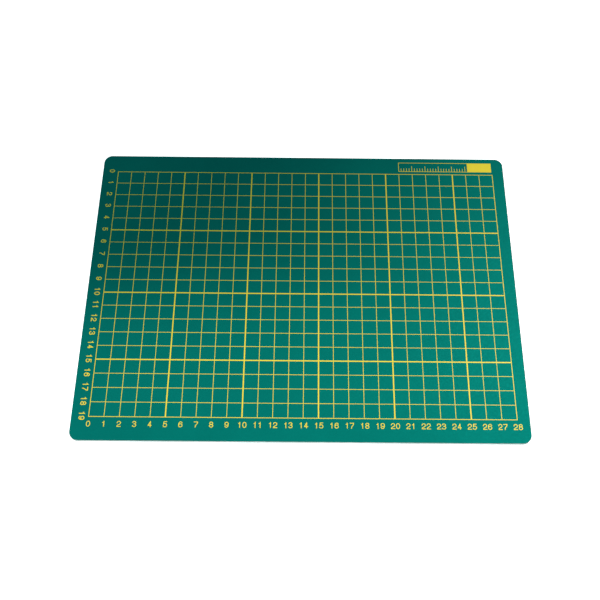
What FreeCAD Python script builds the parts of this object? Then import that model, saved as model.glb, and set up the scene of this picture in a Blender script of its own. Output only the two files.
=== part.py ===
import FreeCAD, Part
import os

import Sketcher

# A craft cutting mat: five bonded PVC plies, with a centimetre grid and a title panel printed on the top ply.
# The origin is the centre of the underside, +X runs along the long side, +Y to the back and +Z up.

# Sizes in millimetres, and counts
SIZES = {
    # Printed grid
    "grid_pitch": 10.0,
    "grid_columns": 28,
    "grid_rows": 19,
    "heavy_line_every": 5,
    "fine_line_width": 0.35,
    "heavy_line_width": 0.8,
    "border_line_width": 0.42,
    "ink_thickness": 0.05,
    # Bare margins round the grid; the back one also holds the title panel
    "margin_left": 11.5,
    "margin_right": 8.5,
    "margin_front": 15.8,
    "title_edge_gap": 3.8,
    # Title panel behind the grid: an outlined window with a solid block at its right end
    "title_grid_gap": 2.4,
    "title_end_inset": 0.4,
    "title_length": 69.7,
    "title_depth": 8.0,
    "title_block_length": 18.0,
    "title_outline_width": 0.35,
    # Plies, from the outside in
    "face_ply_thickness": 0.6,
    "support_ply_thickness": 0.6,
    "core_ply_thickness": 0.6,
    "corner_radius": 6.0,
    "rim_radius": 0.2,
}

# Worked out from the sizes, as expressions
GRID_LENGTH = "(sizes.grid_columns * sizes.grid_pitch)"
GRID_DEPTH = "(sizes.grid_rows * sizes.grid_pitch)"
MARGIN_BACK = "(sizes.title_grid_gap + sizes.title_depth + sizes.title_edge_gap)"
MAT_LENGTH = f"({GRID_LENGTH} + sizes.margin_left + sizes.margin_right)"
MAT_DEPTH = f"({GRID_DEPTH} + sizes.margin_front + {MARGIN_BACK})"
GRID_LEFT = f"(sizes.margin_left - {MAT_LENGTH} / 2)"
GRID_RIGHT = f"({MAT_LENGTH} / 2 - sizes.margin_right)"
GRID_BACK = f"({MAT_DEPTH} / 2 - {MARGIN_BACK})"

# Heights of the plies' undersides, and of the printed top
LOWER_SUPPORT_BASE = "sizes.face_ply_thickness"
CORE_BASE = f"({LOWER_SUPPORT_BASE} + sizes.support_ply_thickness)"
UPPER_SUPPORT_BASE = f"({CORE_BASE} + sizes.core_ply_thickness)"
TOP_FACE_BASE = f"({UPPER_SUPPORT_BASE} + sizes.support_ply_thickness)"
MAT_TOP = f"({TOP_FACE_BASE} + sizes.face_ply_thickness)"

doc = FreeCAD.newDocument("cutting_mat")


def make_sheet():
    """The spreadsheet that every other object is bound to."""
    sizes = doc.addObject("Spreadsheet::Sheet", "sizes")
    for row, (alias, value) in enumerate(SIZES.items(), start=1):
        sizes.set(f"A{row}", alias)
        sizes.set(f"B{row}", str(value))
        sizes.setAlias(f"B{row}", alias)
    doc.recompute()
    return sizes


def make_body(label, left, front, base):
    """A body whose own origin stands at the given expressions."""
    body = doc.addObject("PartDesign::Body", label)
    body.Label = label
    body.setExpression("Placement.Base.x", left)
    body.setExpression("Placement.Base.y", front)
    body.setExpression("Placement.Base.z", base)
    return body


def origin_feature(body, role):
    """One of the body's own planes or axes."""
    return next(feature for feature in body.Origin.OriginFeatures if feature.Role == role)


def make_sketch(body, name):
    """An empty sketch on the body's own ground plane."""
    sketch = body.newObject("Sketcher::SketchObject", name)
    sketch.AttachmentSupport = (origin_feature(body, "XY_Plane"), [""])
    sketch.MapMode = "FlatFace"
    return sketch


def add_size(sketch, name, expression, kind, *points):
    """A distance in the sketch, bound to an expression."""
    value = sketch.evalExpression(expression)
    index = sketch.addConstraint(Sketcher.Constraint(kind, *points, value))
    sketch.renameConstraint(index, name)
    sketch.setExpression(f"Constraints.{name}", expression)


def add_rectangle(sketch, name, length, depth, inset=None):
    """A rectangle in the quarter right of and behind the sketch's origin, inset from both axes if asked."""
    near = sketch.evalExpression(inset) if inset else 0
    right = near + sketch.evalExpression(length)
    back = near + sketch.evalExpression(depth)
    corners = [FreeCAD.Vector(x, y, 0) for x, y in ((near, near), (right, near), (right, back), (near, back))]
    ends = zip(corners, corners[1:] + corners[:1])
    ring = sketch.addGeometry([Part.LineSegment(start, end) for start, end in ends], False)
    front_side, right_side, back_side, left_side = ring
    # In a constraint, a line's point 1 is its start and 2 its end, and point 1 of item -1 is the origin
    for side, following in zip(ring, ring[1:] + ring[:1]):
        sketch.addConstraint(Sketcher.Constraint("Coincident", side, 2, following, 1))
    for side in (front_side, back_side):
        sketch.addConstraint(Sketcher.Constraint("Horizontal", side))
    for side in (right_side, left_side):
        sketch.addConstraint(Sketcher.Constraint("Vertical", side))
    add_size(sketch, f"{name}_length", length, "DistanceX", front_side, 1, front_side, 2)
    add_size(sketch, f"{name}_depth", depth, "DistanceY", right_side, 1, right_side, 2)
    if inset is None:
        sketch.addConstraint(Sketcher.Constraint("Coincident", front_side, 1, -1, 1))
        return
    add_size(sketch, f"{name}_left", inset, "DistanceX", -1, 1, front_side, 1)
    add_size(sketch, f"{name}_front", inset, "DistanceY", -1, 1, front_side, 1)


def make_pad(body, name, sketch, height):
    """The sketch pulled up by a height."""
    pad = body.newObject("PartDesign::Pad", name)
    pad.Profile = (sketch, [""])
    pad.setExpression("Length", height)
    doc.recompute()
    return pad


def make_fillet(body, name, base, radius, wanted):
    """A fillet on the edges of the base that are wanted."""
    fillet = body.newObject("PartDesign::Fillet", name)
    edges = [f"Edge{i}" for i, edge in enumerate(base.Shape.Edges, start=1) if wanted(edge)]
    fillet.Base = (base, edges)
    fillet.setExpression("Radius", radius)
    doc.recompute()
    return fillet


def is_upright(edge):
    """True for an edge that runs up rather than along."""
    along = edge.Vertexes[-1].Point - edge.Vertexes[0].Point
    return abs(along.z) > abs(along.x) + abs(along.y)


def make_ply(label, thickness, base, rim=None):
    """One rounded sheet of the laminate; rim is top or bottom where its outer edge is eased."""
    body = make_body(label, f"-{MAT_LENGTH} / 2", f"-{MAT_DEPTH} / 2", base)
    outline = make_sketch(body, f"{label}_outline")
    add_rectangle(outline, "sheet", MAT_LENGTH, MAT_DEPTH)
    sheet_pad = make_pad(body, f"{label}_sheet", outline, thickness)
    rounded = make_fillet(body, f"{label}_corners", sheet_pad, "sizes.corner_radius", is_upright)
    if rim is None:
        return body
    box = rounded.Shape.BoundBox
    level = box.ZMax if rim == "top" else box.ZMin

    def on_rim(edge):
        return max(abs(vertex.Z - level) for vertex in edge.Vertexes) < box.ZLength / 2

    make_fillet(body, f"{label}_rim", rounded, "sizes.rim_radius", on_rim)
    return body


def line_edges(count):
    """Near and far edge of each printed line across the grid, counted from the first line's centre."""
    edges = []
    for line in range(count + 1):
        width = sheet.fine_line_width
        if line in (0, count):
            width = sheet.border_line_width
        elif line % sheet.heavy_line_every == 0:
            width = sheet.heavy_line_width
        centre = line * sheet.grid_pitch
        edges.append((centre - width / 2, centre + width / 2))
    return edges


def rectangle_wire(left, front, right, back):
    """A closed rectangle on the ground plane, drawn anticlockwise."""
    corners = ((left, front), (right, front), (right, back), (left, back), (left, front))
    return Part.makePolygon([FreeCAD.Vector(x, y, 0) for x, y in corners])


def make_grid_print():
    """The grid as one ink film: a rectangle with a window for each cell, so that the lines are what is left."""
    columns = line_edges(sheet.grid_columns)
    # Columns count from the left, and rows from the back
    rows = [(-far, -near) for near, far in reversed(line_edges(sheet.grid_rows))]
    border = rectangle_wire(columns[0][0], rows[0][0], columns[-1][1], rows[-1][1])
    windows = []
    for (_, left), (right, _) in zip(columns, columns[1:]):
        for (_, front), (back, _) in zip(rows, rows[1:]):
            window = rectangle_wire(left, front, right, back)
            window.reverse()
            windows.append(window)
    outline = doc.addObject("Part::Feature", "grid_outline")
    outline.Shape = Part.Face([border] + windows)
    outline.setExpression("Placement.Base.x", GRID_LEFT)
    outline.setExpression("Placement.Base.y", GRID_BACK)
    outline.setExpression("Placement.Base.z", MAT_TOP)
    film = doc.addObject("Part::Extrusion", "grid_print")
    film.Label = "grid_print"
    film.Base = outline
    film.DirMode = "Normal"
    film.Solid = True
    film.setExpression("LengthFwd", "sizes.ink_thickness")
    return film


def make_title_panel_print():
    """The panel behind the grid's right end: an outline round a bare window, solid at its right end."""
    left = f"{GRID_RIGHT} - sizes.title_end_inset - sizes.title_length"
    front = f"{GRID_BACK} + sizes.title_grid_gap"
    body = make_body("title_panel_print", left, front, MAT_TOP)
    outline = make_sketch(body, "title_outline")
    outline_width = "sizes.title_outline_width"
    add_rectangle(outline, "panel", "sizes.title_length", "sizes.title_depth")
    window_length = f"sizes.title_length - sizes.title_block_length - {outline_width}"
    window_depth = f"sizes.title_depth - 2 * {outline_width}"
    add_rectangle(outline, "window", window_length, window_depth, inset=outline_width)
    make_pad(body, "title_film", outline, "sizes.ink_thickness")
    return body


def make_mat():
    """Every sub-part of the mat, from the table up."""
    face = "sizes.face_ply_thickness"
    support = "sizes.support_ply_thickness"
    return [
        make_ply("bottom_face_ply", face, "0", rim="bottom"),
        make_ply("lower_support_ply", support, LOWER_SUPPORT_BASE),
        make_ply("core_ply", "sizes.core_ply_thickness", CORE_BASE),
        make_ply("upper_support_ply", support, UPPER_SUPPORT_BASE),
        make_ply("top_face_ply", face, TOP_FACE_BASE, rim="top"),
        make_grid_print(),
        make_title_panel_print(),
    ]


def check(bodies):
    """Stop before anything is written if an object failed."""
    for item in doc.Objects:
        if "Invalid" in item.State or "Error" in item.State:
            raise RuntimeError(f"{item.Label} failed: {item.State}")
    for body in bodies:
        if body.Shape.isNull() or not body.Shape.isValid():
            raise RuntimeError(f"{body.Label} has no valid shape")
        if len(body.Shape.Solids) != 1:
            raise RuntimeError(f"{body.Label} is not one solid")


sheet = make_sheet()
mat = make_mat()
doc.recompute()
check(mat)
os.makedirs("parts", exist_ok=True)
for piece in mat:
    piece.Shape.exportStep(f"parts/{piece.Label}.step")
    extent = piece.Shape.optimalBoundingBox()
    print(piece.Label, f"{extent.XLength:.2f} x {extent.YLength:.2f} x {extent.ZLength:.2f} mm")
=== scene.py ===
import math

import bmesh
import bpy
from mathutils import Matrix, Vector
from mathutils.geometry import delaunay_2d_cdt, interpolate_bezier


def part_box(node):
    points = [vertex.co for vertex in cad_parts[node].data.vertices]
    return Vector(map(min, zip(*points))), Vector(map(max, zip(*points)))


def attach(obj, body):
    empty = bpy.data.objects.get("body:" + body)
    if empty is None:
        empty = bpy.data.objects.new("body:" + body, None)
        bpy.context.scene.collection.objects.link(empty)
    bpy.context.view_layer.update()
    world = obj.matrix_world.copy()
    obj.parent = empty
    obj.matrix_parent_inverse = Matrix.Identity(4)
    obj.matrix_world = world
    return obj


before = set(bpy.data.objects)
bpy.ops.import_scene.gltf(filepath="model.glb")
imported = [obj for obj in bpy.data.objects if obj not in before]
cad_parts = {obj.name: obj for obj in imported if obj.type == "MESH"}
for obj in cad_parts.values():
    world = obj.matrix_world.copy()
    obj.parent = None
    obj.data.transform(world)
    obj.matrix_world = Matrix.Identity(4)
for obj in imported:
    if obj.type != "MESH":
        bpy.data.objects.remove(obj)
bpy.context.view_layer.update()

# A craft cutting mat: a green PVC laminate, printed in yellow with a centimetre grid, its scales and a
# title panel. The frame is in metres, from the centre of the underside: +X runs along the long side,
# +Y to the back and +Z up.

MM = 0.001

# The printed grid, as the frame has it
GRID_PITCH = 10 * MM
GRID_COLUMNS = 28
GRID_ROWS = 19
grid_low, grid_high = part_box("grid_print")
border_width = grid_high.x - grid_low.x - GRID_COLUMNS * GRID_PITCH
grid_left = grid_low.x + border_width / 2
grid_front = grid_low.y + border_width / 2
grid_back = grid_high.y - border_width / 2
ink_base = grid_low.z
ink_top = grid_high.z

# Scale numbers along the front and down the left side
DIGIT_WIDTH = 2.65 * MM
DIGIT_HEIGHT = 3.9 * MM
DIGIT_GAP = 0.6 * MM
FRONT_PEN_WIDTH = 0.47 * MM
SIDE_PEN_WIDTH = 0.57 * MM
FRONT_SCALE_GAP = 2.9 * MM
FRONT_SCALE_LEAD = 0.2 * MM
SIDE_SCALE_GAP = 2.6 * MM
SIDE_SCALE_LEAD = 0.65 * MM
SIDE_SCALE_TURN = -math.pi / 2

# Plain scale in the title panel's window
TICK_PITCH = 2 * MM
TICKS_PER_CENTIMETRE = 5
TICK_WIDTH = 0.35 * MM
SHORT_TICK = 2.6 * MM
LONG_TICK = 4.6 * MM
TITLE_OUTLINE_WIDTH = 0.35 * MM
TITLE_BLOCK_LENGTH = 18 * MM


# Ink shapes
# A digit is drawn with a pen of one width. Its strokes are shares of the way that the pen's middle can
# go, across and up: a first point, then moves. A line is straight, a rise leaves upright and arrives
# level, a run leaves level and arrives upright, and a sweep leaves and arrives upright.
DIGIT_STROKE_SHARES = {
    "0": [
        [(0, 0.5), ("rise", 0.5, 1), ("run", 1, 0.5), ("rise", 0.5, 0), ("run", 0, 0.5)],
    ],
    "1": [
        [(0.6, 0), ("line", 0.6, 1)],
        [(0.26, 0.77), ("run", 0.6, 1)],
    ],
    "2": [
        [(0, 0.7), ("rise", 0.5, 1), ("run", 1, 0.71), ("sweep", 0, 0)],
        [(0, 0), ("line", 1, 0)],
    ],
    "3": [
        [(0.03, 0.8), ("rise", 0.48, 1), ("run", 0.93, 0.76), ("rise", 0.5, 0.53), ("line", 0.42, 0.53)],
        [(0.42, 0.53), ("line", 0.5, 0.53), ("run", 1, 0.27), ("rise", 0.49, 0), ("run", 0, 0.2)],
    ],
    "4": [
        [(0.72, 0), ("line", 0.72, 1)],
        [(0.66, 0.94), ("line", 0.1, 0.27), ("line", 1, 0.27)],
    ],
    "5": [
        [(0.95, 1), ("line", 0.17, 1), ("line", 0.08, 0.5)],
        [(0.08, 0.5), ("rise", 0.52, 0.64), ("run", 1, 0.32), ("rise", 0.49, 0), ("run", 0, 0.2)],
    ],
    "6": [
        [(0, 0.31), ("rise", 0.5, 0.62), ("run", 1, 0.31), ("rise", 0.5, 0), ("run", 0, 0.31)],
        [(0, 0.31), ("line", 0, 0.5), ("rise", 0.54, 1), ("run", 0.97, 0.76)],
    ],
    "7": [
        [(0, 1), ("line", 1, 1)],
        [(1, 1), ("sweep", 0.35, 0)],
    ],
    "8": [
        [(0.06, 0.765), ("rise", 0.5, 1), ("run", 0.94, 0.765), ("rise", 0.5, 0.53), ("run", 0.06, 0.765)],
        [(0, 0.27), ("rise", 0.5, 0.53), ("run", 1, 0.27), ("rise", 0.5, 0), ("run", 0, 0.27)],
    ],
    "9": [
        [(1, 0.69), ("rise", 0.5, 0.38), ("run", 0, 0.69), ("rise", 0.5, 1), ("run", 1, 0.69)],
        [(1, 0.69), ("line", 1, 0.5), ("rise", 0.46, 0), ("run", 0.03, 0.24)],
    ],
}
TURN_HANDLE_SHARE = 0.57
STEPS_PER_MOVE = 7
JOIN_TOLERANCE = 0.00001 * MM
WELD_REACH = 0.002 * MM
ALL_TRIANGLES = 0


def trace(stroke_shares, pen_width):
    """The pen's centre line along one stroke, in metres from the digit's lower left corner."""
    room = Vector((DIGIT_WIDTH - pen_width, DIGIT_HEIGHT - pen_width))

    def place(across_share, up_share):
        return Vector((across_share * room.x + pen_width / 2, up_share * room.y + pen_width / 2))

    points = [place(*stroke_shares[0])]
    for kind, across_share, up_share in stroke_shares[1:]:
        start = points[-1]
        end = place(across_share, up_share)
        reach = end - start
        upright = Vector((0, reach.y)) * TURN_HANDLE_SHARE
        level = Vector((reach.x, 0)) * TURN_HANDLE_SHARE
        if kind == "line":
            points.append(end)
            continue
        leave = level if kind == "run" else upright
        arrive = level if kind == "rise" else upright
        points += interpolate_bezier(start, start + leave, end - arrive, end, STEPS_PER_MOVE + 1)[1:]
    return points


def ribbon(points, width):
    """The quads that a pen covers along a line of points; an open line also gets half a pen at each end."""
    is_ring = (points[0] - points[-1]).length < JOIN_TOLERANCE
    ways = [(after - before).normalized() for before, after in zip(points, points[1:])]
    if is_ring:
        ways = [ways[-1]] + ways + [ways[0]]
    else:
        points = [points[0] - ways[0] * width / 2] + points[1:-1] + [points[-1] + ways[-1] * width / 2]
        ways = [ways[0]] + ways + [ways[-1]]
    sides = []
    for point, way_in, way_out in zip(points, ways, ways[1:]):
        mean_way = (way_in + way_out).normalized()
        offset = Vector((-mean_way.y, mean_way.x)) * width / 2 / mean_way.dot(way_in)
        sides.append((point - offset, point + offset))
    return [
        (right, next_right, next_left, left)
        for (right, left), (next_right, next_left) in zip(sides, sides[1:])
    ]


def weld(points):
    """For each point, the number of the first point that lies almost on it."""
    return [
        next(number for number, other in enumerate(points) if (other - point).length < WELD_REACH)
        for point in points
    ]


def cover(quads):
    """The points, and the triangles between them, that cover what the quads cover together."""
    corners = [corner for quad in quads for corner in quad]
    faces = [[len(quad) * index + step for step in range(len(quad))] for index, quad in enumerate(quads)]
    parts = delaunay_2d_cdt(corners, [], faces, ALL_TRIANGLES, JOIN_TOLERANCE)
    points, _, triangles, _, _, owners = parts
    welded = weld(points)
    covering = [
        [welded[corner] for corner in triangle]
        for triangle, owned in zip(triangles, owners) if owned
    ]
    return points, [triangle for triangle in covering if len(set(triangle)) == len(triangle)]


def add_film(mesh, quads, middle, turn=0):
    """A closed film of ink over all that the quads cover, turned and then moved to a middle."""
    points, triangles = cover(quads)
    rotation = Matrix.Rotation(turn, 2)
    used = sorted({corner for triangle in triangles for corner in triangle})
    places = {corner: middle + rotation @ points[corner] for corner in used}
    lower = {corner: mesh.verts.new((*place, ink_base)) for corner, place in places.items()}
    upper = {corner: mesh.verts.new((*place, ink_top)) for corner, place in places.items()}
    sides = set()
    for triangle in triangles:
        mesh.faces.new([upper[corner] for corner in triangle])
        mesh.faces.new([lower[corner] for corner in reversed(triangle)])
        sides.update(zip(triangle, triangle[1:] + triangle[:1]))
    for start, end in sorted(sides):
        if (end, start) not in sides:
            mesh.faces.new((lower[start], lower[end], upper[end], upper[start]))


def make_object(name, mesh, material):
    """An object of one material from a mesh that is ready."""
    data = bpy.data.meshes.new(name)
    mesh.to_mesh(data)
    mesh.free()
    data.materials.append(material)
    made = bpy.data.objects.new(name, data)
    bpy.context.collection.objects.link(made)
    return made


def finish_print(name, mesh, material):
    """The ink films in the mesh as one piece that lies on the mat."""
    piece = make_object(name, mesh, material)
    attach(piece, "root")


def add_number(mesh, number, pen_width, middle, turn=0):
    """A whole number in one pen's width, centred on a point and turned by an angle."""
    text = str(number)
    pitch = DIGIT_WIDTH + DIGIT_GAP
    length = len(text) * pitch - DIGIT_GAP
    for index, digit in enumerate(text):
        corner = Vector((index * pitch - length / 2, -DIGIT_HEIGHT / 2))
        quads = []
        for stroke_shares in DIGIT_STROKE_SHARES[digit]:
            points = [corner + point for point in trace(stroke_shares, pen_width)]
            quads += ribbon(points, pen_width)
        add_film(mesh, quads, middle, turn)


def make_front_scale(material):
    """Numbers in front of the grid's front line, one at each upright line."""
    mesh = bmesh.new()
    across = grid_front - FRONT_SCALE_GAP - DIGIT_HEIGHT / 2
    first = grid_left + FRONT_SCALE_LEAD
    for column in range(GRID_COLUMNS + 1):
        add_number(mesh, column, FRONT_PEN_WIDTH, Vector((first + column * GRID_PITCH, across)))
    finish_print("front_scale_numbers", mesh, material)


def make_side_scale(material):
    """Numbers beside the grid's left line, counted from the back and turned a quarter clockwise."""
    mesh = bmesh.new()
    across = grid_left - SIDE_SCALE_GAP - DIGIT_HEIGHT / 2
    first = grid_back + SIDE_SCALE_LEAD
    for row in range(GRID_ROWS + 1):
        middle = Vector((across, first - row * GRID_PITCH))
        add_number(mesh, row, SIDE_PEN_WIDTH, middle, SIDE_SCALE_TURN)
    finish_print("side_scale_numbers", mesh, material)


def make_title_scale(material):
    """Tick marks along the front of the title panel's window."""
    mesh = bmesh.new()
    title_low, title_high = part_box("title_panel_print")
    window_front = title_low.y + TITLE_OUTLINE_WIDTH
    window_right = title_high.x - TITLE_BLOCK_LENGTH
    tick = 1
    while title_low.x + tick * TICK_PITCH + TICK_WIDTH < window_right:
        height = LONG_TICK if tick % TICKS_PER_CENTIMETRE == 0 else SHORT_TICK
        centre = title_low.x + tick * TICK_PITCH
        foot = Vector((0, TICK_WIDTH / 2))
        head = Vector((0, height - TICK_WIDTH / 2))
        add_film(mesh, ribbon([foot, head], TICK_WIDTH), Vector((centre, window_front)))
        tick += 1
    finish_print("title_scale_ticks", mesh, material)


# Materials
# Noise keeps mostly to the middle of its range. A pebble's value is low at its top and high at its foot.
FULL_RANGE = (0, 1)
NOISE_RANGE = (0.3, 0.7)
PEBBLE_RANGE = (0.1, 0.6)
RICH_DETAIL = 3
PLAIN_DETAIL = 2
WHITE = (1, 1, 1, 1)

# Green PVC
GREEN_DEEP = (0.0004, 0.113, 0.093, 1)
GREEN_LIGHT = (0.0007, 0.141, 0.115, 1)
GREEN_SHEEN = (0, 1, 0.84, 1)
PVC_CLOUD = 30 * MM
PVC_SPECK = 0.9 * MM
PVC_PEBBLE = 0.6 * MM
PVC_PORE = 0.16 * MM
PVC_CLOUD_SHARE = 0.45
PVC_SPECK_SHARE = 0.3
# How much painted shade darkens the green in the seams between pebbles
PVC_PEBBLE_SHADE_SHARE = 0.25
PVC_PORE_HEIGHT_SHARE = 0.3
PVC_RELIEF = 0.08 * MM
PVC_RELIEF_STRENGTH = 0.9
PVC_ROUGHNESS = (0.5, 0.66)
PVC_GLOSS = 0.72

# Yellow ink
YELLOW_DEEP = (0.9, 0.67, 0.035, 1)
YELLOW_LIGHT = (0.97, 0.73, 0.05, 1)
INK_CLOUD = 6 * MM
INK_GRAIN = 0.25 * MM
INK_CLOUD_SHARE = 0.6
INK_GRAIN_SHARE = 0.4
INK_RELIEF = 0.01 * MM
INK_RELIEF_STRENGTH = 0.4
INK_ROUGHNESS = (0.36, 0.52)
INK_GLOSS = 0.2

# Cut edges of the pale plies
SUPPORT_DEEP = (0.56, 0.59, 0.57, 1)
SUPPORT_LIGHT = (0.66, 0.68, 0.66, 1)
CORE_DEEP = (0.72, 0.73, 0.71, 1)
CORE_LIGHT = (0.83, 0.84, 0.82, 1)
EDGE_CLOUD = 9 * MM
EDGE_MARK = 0.3 * MM
EDGE_MARK_STRETCH = (1, 1, 20)
EDGE_CLOUD_SHARE = 0.5
EDGE_MARK_SHARE = 0.5
EDGE_RELIEF = 0.03 * MM
EDGE_RELIEF_STRENGTH = 0.6
EDGE_ROUGHNESS = (0.5, 0.7)
EDGE_GLOSS = 0.3


def new_material(name):
    """A material with its tree and its main shader."""
    material = bpy.data.materials.new(name)
    material.use_nodes = True
    tree = material.node_tree
    return material, tree, tree.nodes["Principled BSDF"]


def add_place(tree, stretch=(1, 1, 1)):
    """The point on the piece, in metres, for a texture that is stretched along the axes."""
    coordinates = tree.nodes.new("ShaderNodeTexCoord")
    mapping = tree.nodes.new("ShaderNodeMapping")
    tree.links.new(coordinates.outputs["Object"], mapping.inputs["Vector"])
    mapping.inputs["Scale"].default_value = [1 / length for length in stretch]
    return mapping.outputs["Vector"]


def add_noise(tree, place, feature, detail):
    """Cloudy noise whose features are about this large."""
    noise = tree.nodes.new("ShaderNodeTexNoise")
    tree.links.new(place, noise.inputs["Vector"])
    noise.inputs["Scale"].default_value = 1 / feature
    noise.inputs["Detail"].default_value = detail
    return noise.outputs["Fac"]


def add_pebbles(tree, place, feature):
    """Rounded pebbles of about this size, as the distance from each one's middle."""
    pebbles = tree.nodes.new("ShaderNodeTexVoronoi")
    pebbles.feature = "SMOOTH_F1"
    tree.links.new(place, pebbles.inputs["Vector"])
    pebbles.inputs["Scale"].default_value = 1 / feature
    return pebbles.outputs["Distance"]


def add_range(tree, value, spread, result):
    """The value, moved from one spread to another."""
    node = tree.nodes.new("ShaderNodeMapRange")
    tree.links.new(value, node.inputs["Value"])
    node.inputs["From Min"].default_value, node.inputs["From Max"].default_value = spread
    node.inputs["To Min"].default_value, node.inputs["To Max"].default_value = result
    return node.outputs["Result"]


def add_share(tree, noise, share):
    """The noise, scaled to run from nothing to a share."""
    return add_range(tree, noise, NOISE_RANGE, (0, share))


def add_sum(tree, first, second):
    """Two values added."""
    node = tree.nodes.new("ShaderNodeMath")
    node.operation = "ADD"
    tree.links.new(first, node.inputs[0])
    tree.links.new(second, node.inputs[1])
    return node.outputs["Value"]


def add_mix(tree, factor, first, second):
    """A colour between two colours."""
    node = tree.nodes.new("ShaderNodeMix")
    node.data_type = "RGBA"
    tree.links.new(factor, node.inputs["Factor"])
    node.inputs["A"].default_value = first
    node.inputs["B"].default_value = second
    return node.outputs["Result"]


def set_surface(tree, shader, tone, colours, grain, roughness, gloss):
    """A colour between two that follows the tone, a roughness that follows the grain, and an even gloss."""
    tree.links.new(add_mix(tree, tone, *colours), shader.inputs["Base Color"])
    tree.links.new(add_range(tree, grain, NOISE_RANGE, roughness), shader.inputs["Roughness"])
    shader.inputs["Specular IOR Level"].default_value = gloss


def add_bump(tree, shader, height, depth, strength):
    """Relief on the shader from a height, where 1 is as high as the depth."""
    bump = tree.nodes.new("ShaderNodeBump")
    tree.links.new(height, bump.inputs["Height"])
    bump.inputs["Distance"].default_value = depth
    bump.inputs["Strength"].default_value = strength
    tree.links.new(bump.outputs["Normal"], shader.inputs["Normal"])


def make_healing_pvc():
    """Soft green PVC: a fine pebbled grain with painted shade between the pebbles, faint clouding and
    specks.
    """
    material, tree, shader = new_material("green_healing_pvc")
    place = add_place(tree)
    clouds = add_noise(tree, place, PVC_CLOUD, RICH_DETAIL)
    specks = add_noise(tree, place, PVC_SPECK, PLAIN_DETAIL)
    pebbles = add_pebbles(tree, place, PVC_PEBBLE)
    pores = add_noise(tree, place, PVC_PORE, PLAIN_DETAIL)
    tone = add_sum(tree, add_share(tree, clouds, PVC_CLOUD_SHARE), add_share(tree, specks, PVC_SPECK_SHARE))
    # Painted shade: the tone is lighter on each pebble's top and darker towards the seams between pebbles
    tone = add_sum(tree, tone, add_range(tree, pebbles, PEBBLE_RANGE, (PVC_PEBBLE_SHADE_SHARE, 0)))
    set_surface(tree, shader, tone, (GREEN_DEEP, GREEN_LIGHT), specks, PVC_ROUGHNESS, PVC_GLOSS)
    shader.inputs["Specular Tint"].default_value = GREEN_SHEEN
    tops = add_range(tree, pebbles, FULL_RANGE, (1, 0))
    pits = add_range(tree, pores, FULL_RANGE, (0, PVC_PORE_HEIGHT_SHARE))
    add_bump(tree, shader, add_sum(tree, tops, pits), PVC_RELIEF, PVC_RELIEF_STRENGTH)
    return material


def make_ink():
    """Yellow screen ink: a little uneven in tone, with a fine grain in its surface."""
    material, tree, shader = new_material("yellow_ink")
    place = add_place(tree)
    clouds = add_noise(tree, place, INK_CLOUD, RICH_DETAIL)
    grains = add_noise(tree, place, INK_GRAIN, PLAIN_DETAIL)
    tone = add_sum(tree, add_share(tree, clouds, INK_CLOUD_SHARE), add_share(tree, grains, INK_GRAIN_SHARE))
    set_surface(tree, shader, tone, (YELLOW_DEEP, YELLOW_LIGHT), grains, INK_ROUGHNESS, INK_GLOSS)
    add_bump(tree, shader, grains, INK_RELIEF, INK_RELIEF_STRENGTH)
    return material


def make_cut_pvc(name, colours):
    """Pale PVC that shows only where the sheet was cut: upright blade marks and faint clouding."""
    material, tree, shader = new_material(name)
    marks = add_noise(tree, add_place(tree, EDGE_MARK_STRETCH), EDGE_MARK, RICH_DETAIL)
    clouds = add_noise(tree, add_place(tree), EDGE_CLOUD, RICH_DETAIL)
    tone = add_sum(tree, add_share(tree, marks, EDGE_MARK_SHARE), add_share(tree, clouds, EDGE_CLOUD_SHARE))
    set_surface(tree, shader, tone, colours, marks, EDGE_ROUGHNESS, EDGE_GLOSS)
    add_bump(tree, shader, marks, EDGE_RELIEF, EDGE_RELIEF_STRENGTH)
    return material


def dress(node, material):
    """Give a frame node its material."""
    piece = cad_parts[node]
    for slot in piece.material_slots:
        slot.material = material


# Stage
FLOOR_REACH = 4.0
FLOOR_DROP = 0.05 * MM
FLOOR_CLOUD = 400 * MM
FLOOR_DEEP = (0.8, 0.8, 0.8, 1)
FLOOR_LIGHT = (0.84, 0.84, 0.84, 1)
FLOOR_ROUGHNESS = 0.9
FLOOR_GLOSS = 0
FLOOR_GLOW = 0.97
WORLD_LIGHT = 0.04
WORLD_SEEN = 1
CAMERA_PLACE = Vector((2.2, -256.7, 531.0)) * MM
CAMERA_AIM = Vector((4.8, -8.9, 3.0)) * MM
CAMERA_ROLL = math.radians(1.05)
CAMERA_LENS = 50.25
CAMERA_SHIFT_SHARE = -0.015
COOL_LIGHT = (0.66, 1, 1.07)
WARM_LIGHT = (1.08, 1, 0.95)
LIGHTS = {
    "fill": {
        "place": (-0.9, -0.35, 1.3),
        "aim": (0, 0, 0),
        "side": 0.8,
        "power": 13.4,
        "colour": COOL_LIGHT,
        "shines": True,
    },
    "right_key": {
        "place": (0.333, 0.17, 0.618),
        "aim": (1.5, -0.856, 0.003),
        "side": 0.3,
        "power": 9.95,
        "colour": WARM_LIGHT,
        "shines": True,
    },
    "front_key": {
        "place": (-0.103, -0.082, 0.2),
        "aim": (-0.085, -0.405, 0.003),
        "side": 0.3,
        "power": 0.37,
        "colour": WARM_LIGHT,
        "shines": False,
    },
}


def turn_towards(place, aim):
    """The turn that points a light or camera from a place to an aim."""
    return (Vector(aim) - Vector(place)).to_track_quat("-Z", "Y")


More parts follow.
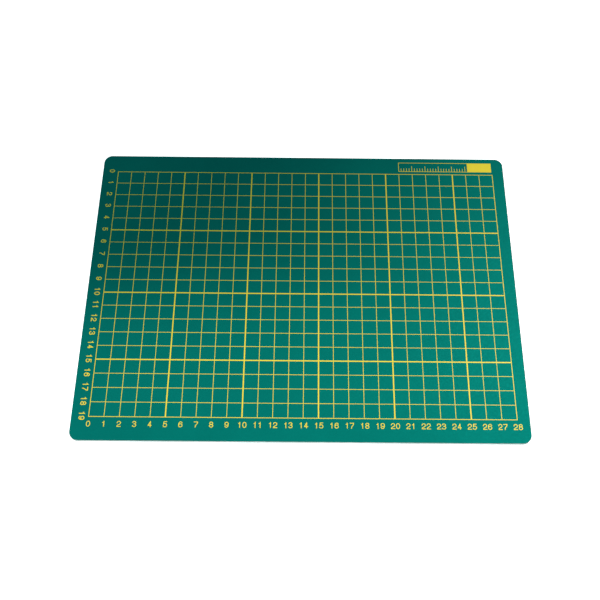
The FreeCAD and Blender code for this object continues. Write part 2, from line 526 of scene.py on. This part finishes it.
def make_floor_material():
    """A plain pale surface with a glow of its own that keeps it white, and clear from below."""
    material, tree, shader = new_material("pale_floor")
    material.cycles.emission_sampling = "NONE"
    clouds = add_noise(tree, add_place(tree), FLOOR_CLOUD, PLAIN_DETAIL)
    tree.links.new(add_mix(tree, clouds, FLOOR_DEEP, FLOOR_LIGHT), shader.inputs["Base Color"])
    shader.inputs["Roughness"].default_value = FLOOR_ROUGHNESS
    shader.inputs["Specular IOR Level"].default_value = FLOOR_GLOSS
    shader.inputs["Emission Color"].default_value = WHITE
    shader.inputs["Emission Strength"].default_value = FLOOR_GLOW
    geometry = tree.nodes.new("ShaderNodeNewGeometry")
    clear = tree.nodes.new("ShaderNodeBsdfTransparent")
    sides = tree.nodes.new("ShaderNodeMixShader")
    tree.links.new(geometry.outputs["Backfacing"], sides.inputs["Fac"])
    tree.links.new(shader.outputs["BSDF"], sides.inputs[1])
    tree.links.new(clear.outputs["BSDF"], sides.inputs[2])
    tree.links.new(sides.outputs["Shader"], tree.nodes["Material Output"].inputs["Surface"])
    return material


def make_floor():
    """A floor just under the mat."""
    mesh = bmesh.new()
    bmesh.ops.create_grid(mesh, x_segments=1, y_segments=1, size=FLOOR_REACH)
    floor = make_object("floor", mesh, make_floor_material())
    floor.location.z = -FLOOR_DROP


def make_light(name, place, aim, side, power, colour, shines):
    """A soft square light that is not seen itself; it gives a highlight only if it shines."""
    data = bpy.data.lights.new(name, "AREA")
    data.size = side
    data.energy = power
    data.color = colour
    light = bpy.data.objects.new(name, data)
    light.location = place
    light.rotation_mode = "QUATERNION"
    light.rotation_quaternion = turn_towards(place, aim)
    light.visible_camera = False
    light.visible_glossy = shines
    bpy.context.collection.objects.link(light)


def make_world():
    """A dim white surround that looks bright where the camera sees it."""
    world = bpy.data.worlds.new("surround")
    bpy.context.scene.world = world
    world.use_nodes = True
    tree = world.node_tree
    background = tree.nodes["Background"]
    background.inputs["Color"].default_value = WHITE
    path = tree.nodes.new("ShaderNodeLightPath")
    strength = add_range(tree, path.outputs["Is Camera Ray"], FULL_RANGE, (WORLD_LIGHT, WORLD_SEEN))
    tree.links.new(strength, background.inputs["Strength"])


def make_camera():
    """The camera at the photograph's viewing angle."""
    data = bpy.data.cameras.new("camera")
    data.lens = CAMERA_LENS
    data.shift_x = CAMERA_SHIFT_SHARE
    camera = bpy.data.objects.new("camera", data)
    camera.location = CAMERA_PLACE
    rotation = turn_towards(CAMERA_PLACE, CAMERA_AIM).to_matrix() @ Matrix.Rotation(CAMERA_ROLL, 3, "Z")
    camera.rotation_euler = rotation.to_euler()
    bpy.context.collection.objects.link(camera)
    bpy.context.scene.camera = camera


def make_stage():
    """Everything round the mat."""
    make_floor()
    for name, values in LIGHTS.items():
        make_light(name, **values)
    make_world()
    make_camera()
    settings = bpy.context.scene.view_settings
    settings.view_transform = "Standard"
    settings.look = "None"


healing_pvc = make_healing_pvc()
support_pvc = make_cut_pvc("pale_support_pvc", (SUPPORT_DEEP, SUPPORT_LIGHT))
core_pvc = make_cut_pvc("white_core_pvc", (CORE_DEEP, CORE_LIGHT))
ink = make_ink()
looks = {
    "bottom_face_ply": healing_pvc,
    "lower_support_ply": support_pvc,
    "core_ply": core_pvc,
    "upper_support_ply": support_pvc,
    "top_face_ply": healing_pvc,
    "grid_print": ink,
    "title_panel_print": ink,
}
for node, material in looks.items():
    dress(node, material)
make_front_scale(ink)
make_side_scale(ink)
make_title_scale(ink)
make_stage()
